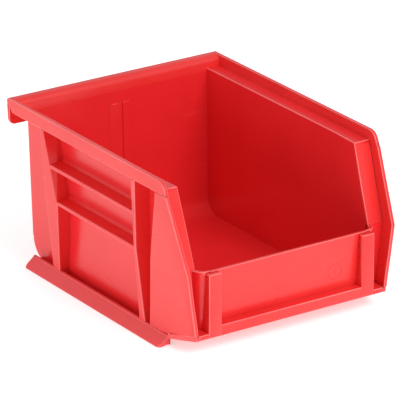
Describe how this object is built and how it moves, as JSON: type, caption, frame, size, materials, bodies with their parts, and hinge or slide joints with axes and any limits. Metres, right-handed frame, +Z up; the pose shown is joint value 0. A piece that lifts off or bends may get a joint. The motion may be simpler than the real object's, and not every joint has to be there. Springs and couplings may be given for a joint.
{
  "type": "stackable storage bin",
  "caption": "Open-fronted plastic parts bin with a sloping scooped front, a label panel, side ribs, a stacking ledge and skirt, and a hooked rear lip for hanging on a rail.",
  "frame": {"origin": "centre of the bounding box in plan, on the surface that the skirts stand on", "axes": "+Z up, -Y towards the open front, +Y towards the hang lip, +X to the right when seen from the front"},
  "size_m": [0.1096, 0.136, 0.073],
  "materials": {
    "tub_plastic": "satin moulded polypropylene, smooth inside",
    "frame_plastic": "satin moulded polypropylene, fine texture outside"
  },
  "bodies": {
    "root": {"floor_pan": "tub_plastic", "rear_wall": "tub_plastic", "divider_slot": "tub_plastic", "front_wall": "frame_plastic", "label_shelf": "frame_plastic", "hang_lip_top": "frame_plastic", "hang_lip_leg": "frame_plastic", "left_side_wall": "tub_plastic", "left_tub_corner": "tub_plastic", "left_corner_shelf": "frame_plastic", "left_label_rib": "frame_plastic", "left_rim_rail": "frame_plastic", "left_stacking_ledge": "tub_plastic", "left_slope_ledge": "frame_plastic", "left_front_panel": "frame_plastic", "left_mid_post": "frame_plastic", "left_rear_post": "frame_plastic", "left_upper_rib": "frame_plastic", "left_lower_rib": "frame_plastic", "left_stacking_skirt": "frame_plastic", "left_plinth": "frame_plastic", "right_side_wall": "tub_plastic", "right_tub_corner": "tub_plastic", "right_corner_shelf": "frame_plastic", "right_label_rib": "frame_plastic", "right_rim_rail": "frame_plastic", "right_stacking_ledge": "tub_plastic", "right_slope_ledge": "frame_plastic", "right_front_panel": "frame_plastic", "right_mid_post": "frame_plastic", "right_rear_post": "frame_plastic", "right_upper_rib": "frame_plastic", "right_lower_rib": "frame_plastic", "right_stacking_skirt": "frame_plastic", "right_plinth": "frame_plastic"}
  },
  "joints": []
}
